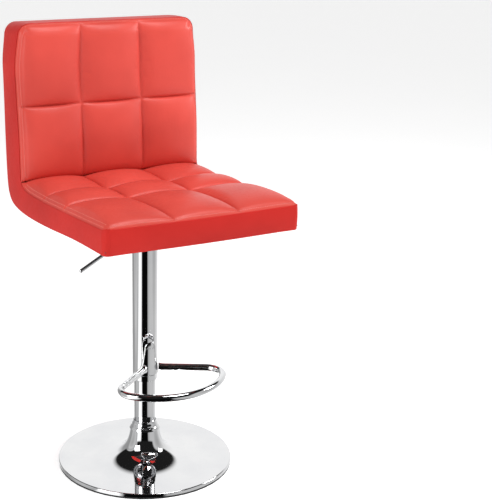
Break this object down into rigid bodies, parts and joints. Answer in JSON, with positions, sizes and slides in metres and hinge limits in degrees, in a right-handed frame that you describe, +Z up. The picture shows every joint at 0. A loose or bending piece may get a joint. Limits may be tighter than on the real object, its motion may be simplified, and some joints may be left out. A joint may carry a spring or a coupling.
{
  "type": "adjustable swivel stool",
  "caption": "Bar stool with a tufted L-shaped seat and back on a gas lift: it swivels, rises by a lever, and has a hooped footrest and a trumpet base.",
  "frame": {"origin": "on the column's axis at floor level, under the middle of the stool's footprint", "axes": "+Z up the column, -Y to the front of the seat, -X to the side with the release lever"},
  "size_m": [0.43, 0.514, 0.955],
  "materials": {
    "chrome": "polished chrome plate",
    "steel": "zinc plated steel",
    "black_steel": "black powder coat",
    "red_leather": "smooth grained synthetic leather",
    "foam": "open cell foam",
    "plywood": "moulded plywood",
    "nylon": "moulded nylon",
    "black_seal": "machined plastic",
    "rubber": "soft black rubber",
    "cast_iron": "rough casting",
    "black_cloth": "thin dust cloth"
  },
  "bodies": {
    "base": {"base_shell": "chrome", "base_collar": "chrome", "base_hub": "steel", "base_weight": "cast_iron", "floor_ring": "rubber", "standpipe": "chrome", "guide_bush": "nylon", "bearing_lower_race": "steel"},
    "cage": {"ball_cage": "steel"},
    "spindle": {"piston_rod": "steel", "piston": "black_seal", "bearing_upper_race": "steel", "rod_clip": "steel"},
    "seat": {"gas_cylinder": "black_steel", "cylinder_gland": "black_seal", "cylinder_socket": "steel", "cover_tube": "chrome", "cover_bush": "nylon", "footrest_saddle": "chrome", "footrest_loop": "chrome", "seat_plate": "black_steel", "lever_bracket": "steel", "lever_pivot_pin": "steel", "seat_bolt_1": "steel", "seat_bolt_2": "steel", "seat_bolt_3": "steel", "seat_bolt_4": "steel", "bolt_washer_1": "steel", "bolt_washer_2": "steel", "bolt_washer_3": "steel", "bolt_washer_4": "steel", "tee_nut_1": "steel", "tee_nut_2": "steel", "tee_nut_3": "steel", "tee_nut_4": "steel", "plywood_shell": "plywood", "seat_foam": "foam", "back_foam": "foam", "seat_cover": "red_leather", "back_cover": "red_leather", "rear_cover": "red_leather", "side_cover_left": "red_leather", "side_cover_right": "red_leather", "underside_cover": "black_cloth"},
    "lever": {"lever_rod": "chrome"},
    "button": {"valve_button": "steel"}
  },
  "joints": [
    {"name": "seat_swivel", "type": "hinge", "parent": "base", "child": "spindle", "pos_m": [0, 0, 0.02], "axis": [0, 0, 1], "continuous": true},
    {"name": "cage_roll", "type": "hinge", "parent": "base", "child": "cage", "pos_m": [0, 0, 0.02], "axis": [0, 0, 1], "continuous": true},
    {"name": "seat_lift", "type": "slide", "parent": "spindle", "child": "seat", "axis": [0, 0, 1], "range_m": [0, 0.21]},
    {"name": "lever_pull", "type": "hinge", "parent": "seat", "child": "lever", "pos_m": [-0.02666, -0.01376, 0.5465], "axis": [-0.4587, 0.8886, 0], "range_deg": [0, 6]},
    {"name": "button_press", "type": "slide", "parent": "seat", "child": "button", "axis": [0, 0, -1], "range_m": [0, 0.0038], "stiffness_N_per_m": 500, "springref_m": -0.001}
  ],
  "couplings": [
    {"joint": "cage_roll", "follows": "seat_swivel", "ratio": 0.5},
    {"joint": "button_press", "follows": "lever_pull", "m_per_rad": 0.0345}
  ]
}
